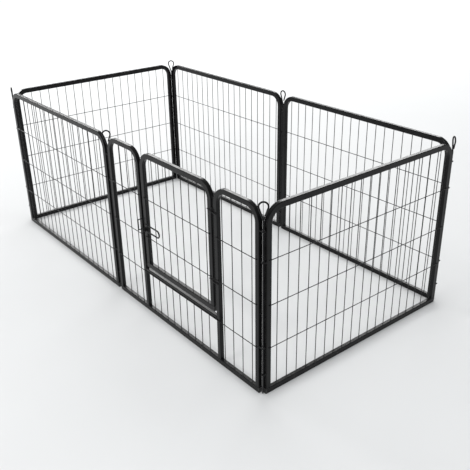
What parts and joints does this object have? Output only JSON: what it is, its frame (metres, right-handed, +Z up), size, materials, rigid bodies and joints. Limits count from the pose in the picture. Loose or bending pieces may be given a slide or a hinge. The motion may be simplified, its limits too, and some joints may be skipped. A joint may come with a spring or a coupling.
{
  "type": "pet playpen",
  "caption": "Rectangular folding pen of black wire-mesh panels joined by lift-out corner pins, with a hinged gate and a sliding wire bolt in one panel.",
  "frame": {"origin": "on the floor, at the centre of the rectangle through the corner pins", "axes": "+X along the long walls, toward the gate panel end; the gate wall faces -Y; +Z up"},
  "size_m": [1.6557, 0.8473, 0.6155],
  "materials": {
    "frame_tube": "gloss black powder coat",
    "mesh_wire": "gloss black powder coat",
    "hinge_wire": "gloss black powder coat",
    "latch_rod": "gloss black powder coat, rubbed where it slides",
    "pin_rod": "gloss black powder coat, rubbed where it slides",
    "end_plug": "matt black plastic"
  },
  "bodies": {
    "door_panel": {"door_panel_left_frame": "frame_tube", "door_panel_right_frame": "frame_tube", "door_panel_sill": "frame_tube", "door_panel_bottom_rail": "frame_tube", "door_panel_rail_plugs": "end_plug", "door_panel_left_uprights": "mesh_wire", "door_panel_right_uprights": "mesh_wire", "door_panel_sill_uprights": "mesh_wire", "door_panel_long_cross_wire": "mesh_wire", "door_panel_left_cross_wires": "mesh_wire", "door_panel_right_cross_wires": "mesh_wire", "door_panel_hinge_eyes": "hinge_wire", "gate_pintles": "hinge_wire", "bolt_keeper": "hinge_wire"},
    "gate": {"gate_frame": "frame_tube", "gate_bottom_rail": "frame_tube", "gate_rail_plugs": "end_plug", "gate_upright_wires": "mesh_wire", "gate_cross_wires": "mesh_wire", "gate_hinge_rings": "hinge_wire", "bolt_guides": "hinge_wire"},
    "latch_bolt": {"latch_bolt": "latch_rod"},
    "front_left_panel": {"front_left_frame": "frame_tube", "front_left_bottom_rail": "frame_tube", "front_left_rail_plugs": "end_plug", "front_left_upright_wires": "mesh_wire", "front_left_cross_wires": "mesh_wire", "front_left_hinge_eyes": "hinge_wire"},
    "right_panel": {"right_frame": "frame_tube", "right_bottom_rail": "frame_tube", "right_rail_plugs": "end_plug", "right_upright_wires": "mesh_wire", "right_cross_wires": "mesh_wire", "right_hinge_eyes": "hinge_wire"},
    "rear_right_panel": {"rear_right_frame": "frame_tube", "rear_right_bottom_rail": "frame_tube", "rear_right_rail_plugs": "end_plug", "rear_right_upright_wires": "mesh_wire", "rear_right_cross_wires": "mesh_wire", "rear_right_hinge_eyes": "hinge_wire"},
    "rear_left_panel": {"rear_left_frame": "frame_tube", "rear_left_bottom_rail": "frame_tube", "rear_left_rail_plugs": "end_plug", "rear_left_upright_wires": "mesh_wire", "rear_left_cross_wires": "mesh_wire", "rear_left_hinge_eyes": "hinge_wire"},
    "left_panel": {"left_frame": "frame_tube", "left_bottom_rail": "frame_tube", "left_rail_plugs": "end_plug", "left_upright_wires": "mesh_wire", "left_cross_wires": "mesh_wire", "left_hinge_eyes": "hinge_wire"},
    "pin_front_left": {"pin_front_left": "pin_rod"},
    "pin_front_middle": {"pin_front_middle": "pin_rod"},
    "pin_front_right": {"pin_front_right": "pin_rod"},
    "pin_rear_right": {"pin_rear_right": "pin_rod"},
    "pin_rear_middle": {"pin_rear_middle": "pin_rod"},
    "pin_rear_left": {"pin_rear_left": "pin_rod"}
  },
  "joints": [
    {"name": "fold_front_right", "type": "hinge", "parent": "door_panel", "child": "right_panel", "pos_m": [0.814, -0.407, 0.3], "axis": [0, 0, -1], "range_deg": [-6, 48]},
    {"name": "fold_rear_right", "type": "hinge", "parent": "right_panel", "child": "rear_right_panel", "pos_m": [0.814, 0.407, 0.3], "axis": [0, 0, -1], "range_deg": [-6, 48]},
    {"name": "fold_rear_middle", "type": "hinge", "parent": "rear_right_panel", "child": "rear_left_panel", "pos_m": [0, 0.407, 0.3], "axis": [0, 0, 1], "range_deg": [-12, 96]},
    {"name": "fold_rear_left", "type": "hinge", "parent": "rear_left_panel", "child": "left_panel", "pos_m": [-0.814, 0.407, 0.3], "axis": [0, 0, -1], "range_deg": [-6, 48]},
    {"name": "fold_front_middle", "type": "hinge", "parent": "door_panel", "child": "front_left_panel", "pos_m": [0, -0.407, 0.3], "axis": [0, 0, -1], "range_deg": [-12, 96]},
    {"name": "gate_swing", "type": "hinge", "parent": "door_panel", "child": "gate", "pos_m": [0.6015, -0.41602, 0.4], "axis": [0, 0, 1], "range_deg": [0, 165]},
    {"name": "bolt_slide", "type": "slide", "parent": "gate", "child": "latch_bolt", "axis": [-1, 0, 0], "range_m": [0, 0.027]},
    {"name": "pin_lift_front_left", "type": "slide", "parent": "front_left_panel", "child": "pin_front_left", "axis": [0, 0, 1], "range_m": [0, 0.56]},
    {"name": "pin_lift_front_middle", "type": "slide", "parent": "door_panel", "child": "pin_front_middle", "axis": [0, 0, 1], "range_m": [0, 0.56]},
    {"name": "pin_lift_front_right", "type": "slide", "parent": "door_panel", "child": "pin_front_right", "axis": [0, 0, 1], "range_m": [0, 0.56]},
    {"name": "pin_lift_rear_right", "type": "slide", "parent": "right_panel", "child": "pin_rear_right", "axis": [0, 0, 1], "range_m": [0, 0.56]},
    {"name": "pin_lift_rear_middle", "type": "slide", "parent": "rear_right_panel", "child": "pin_rear_middle", "axis": [0, 0, 1], "range_m": [0, 0.56]},
    {"name": "pin_lift_rear_left", "type": "slide", "parent": "rear_left_panel", "child": "pin_rear_left", "axis": [0, 0, 1], "range_m": [0, 0.56]}
  ],
  "couplings": [
    {"joint": "fold_rear_right", "follows": "fold_front_right", "ratio": 1},
    {"joint": "fold_rear_middle", "follows": "fold_front_right", "ratio": 2},
    {"joint": "fold_rear_left", "follows": "fold_front_right", "ratio": 1},
    {"joint": "fold_front_middle", "follows": "fold_front_right", "ratio": 2}
  ]
}
